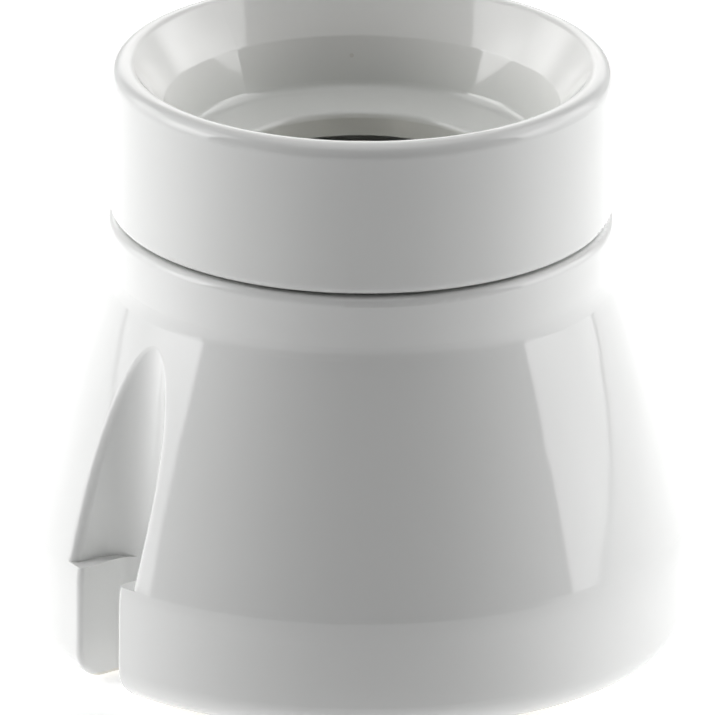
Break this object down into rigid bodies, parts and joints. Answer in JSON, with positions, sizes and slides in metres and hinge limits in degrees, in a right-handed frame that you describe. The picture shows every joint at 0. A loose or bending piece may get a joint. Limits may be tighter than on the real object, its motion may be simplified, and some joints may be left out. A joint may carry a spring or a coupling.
{
  "type": "porcelain lamp holder",
  "caption": "Porcelain surface-mounted lamp holder: a flared hood with fixing scoops and open slots, a screwed-on collar ring with a rounded funnel mouth, and a screw shell and clamps inside.",
  "frame": {"origin": "centre of the mounting face, where the hood's foot meets the wall or ceiling", "axes": "+Z along the lamp axis from the mounting face out through the mouth; +X and -X through the two fixing slots"},
  "size_m": [0.08, 0.0804, 0.0711],
  "materials": {
    "glazed_porcelain": "gloss",
    "bare_porcelain": "matt",
    "nickelled_brass": "satin",
    "spring_bronze": "satin",
    "brass": "satin",
    "zinc_steel": "satin"
  },
  "bodies": {
    "base": {"base_body": "glazed_porcelain", "contact_block": "bare_porcelain", "screw_shell": "nickelled_brass", "centre_spring": "spring_bronze", "shell_rivet_front": "brass", "shell_rivet_back": "brass", "spring_rivet": "brass", "line_terminal": "brass", "neutral_terminal": "brass", "block_screw_front": "zinc_steel", "block_screw_back": "zinc_steel", "block_washer_front": "zinc_steel", "block_washer_back": "zinc_steel", "block_nut_front": "zinc_steel", "block_nut_back": "zinc_steel"},
    "collar": {"collar_ring": "glazed_porcelain"},
    "centre_contact": {"centre_button": "brass"},
    "line_clamp": {"line_clamp_washer": "zinc_steel"},
    "line_screw": {"line_clamp_screw": "zinc_steel"},
    "neutral_clamp": {"neutral_clamp_washer": "zinc_steel"},
    "neutral_screw": {"neutral_clamp_screw": "zinc_steel"}
  },
  "joints": [
    {"name": "collar_lift", "type": "slide", "parent": "base", "child": "collar", "axis": [0, 0, 1], "range_m": [0, 0.03]},
    {"name": "centre_press", "type": "slide", "parent": "base", "child": "centre_contact", "axis": [0, 0, -1], "range_m": [0, 0.0015], "stiffness_N_per_m": 4000, "deforming": ["centre_spring"]},
    {"name": "line_clamp_slide", "type": "slide", "parent": "base", "child": "line_clamp", "axis": [0, 0, -1], "range_m": [0, 0.0028]},
    {"name": "line_screw_turn", "type": "hinge", "parent": "line_clamp", "child": "line_screw", "pos_m": [-0.018, 0, 0.0214], "axis": [0, 0, -1], "range_deg": [0, 1440]},
    {"name": "neutral_clamp_slide", "type": "slide", "parent": "base", "child": "neutral_clamp", "axis": [0, 0, -1], "range_m": [0, 0.0028]},
    {"name": "neutral_screw_turn", "type": "hinge", "parent": "neutral_clamp", "child": "neutral_screw", "pos_m": [0.018, 0, 0.0214], "axis": [0, 0, -1], "range_deg": [0, 1440]}
  ],
  "couplings": [
    {"joint": "line_screw_turn", "follows": "line_clamp_slide", "rad_per_m": 8976},
    {"joint": "neutral_screw_turn", "follows": "neutral_clamp_slide", "rad_per_m": 8976}
  ]
}
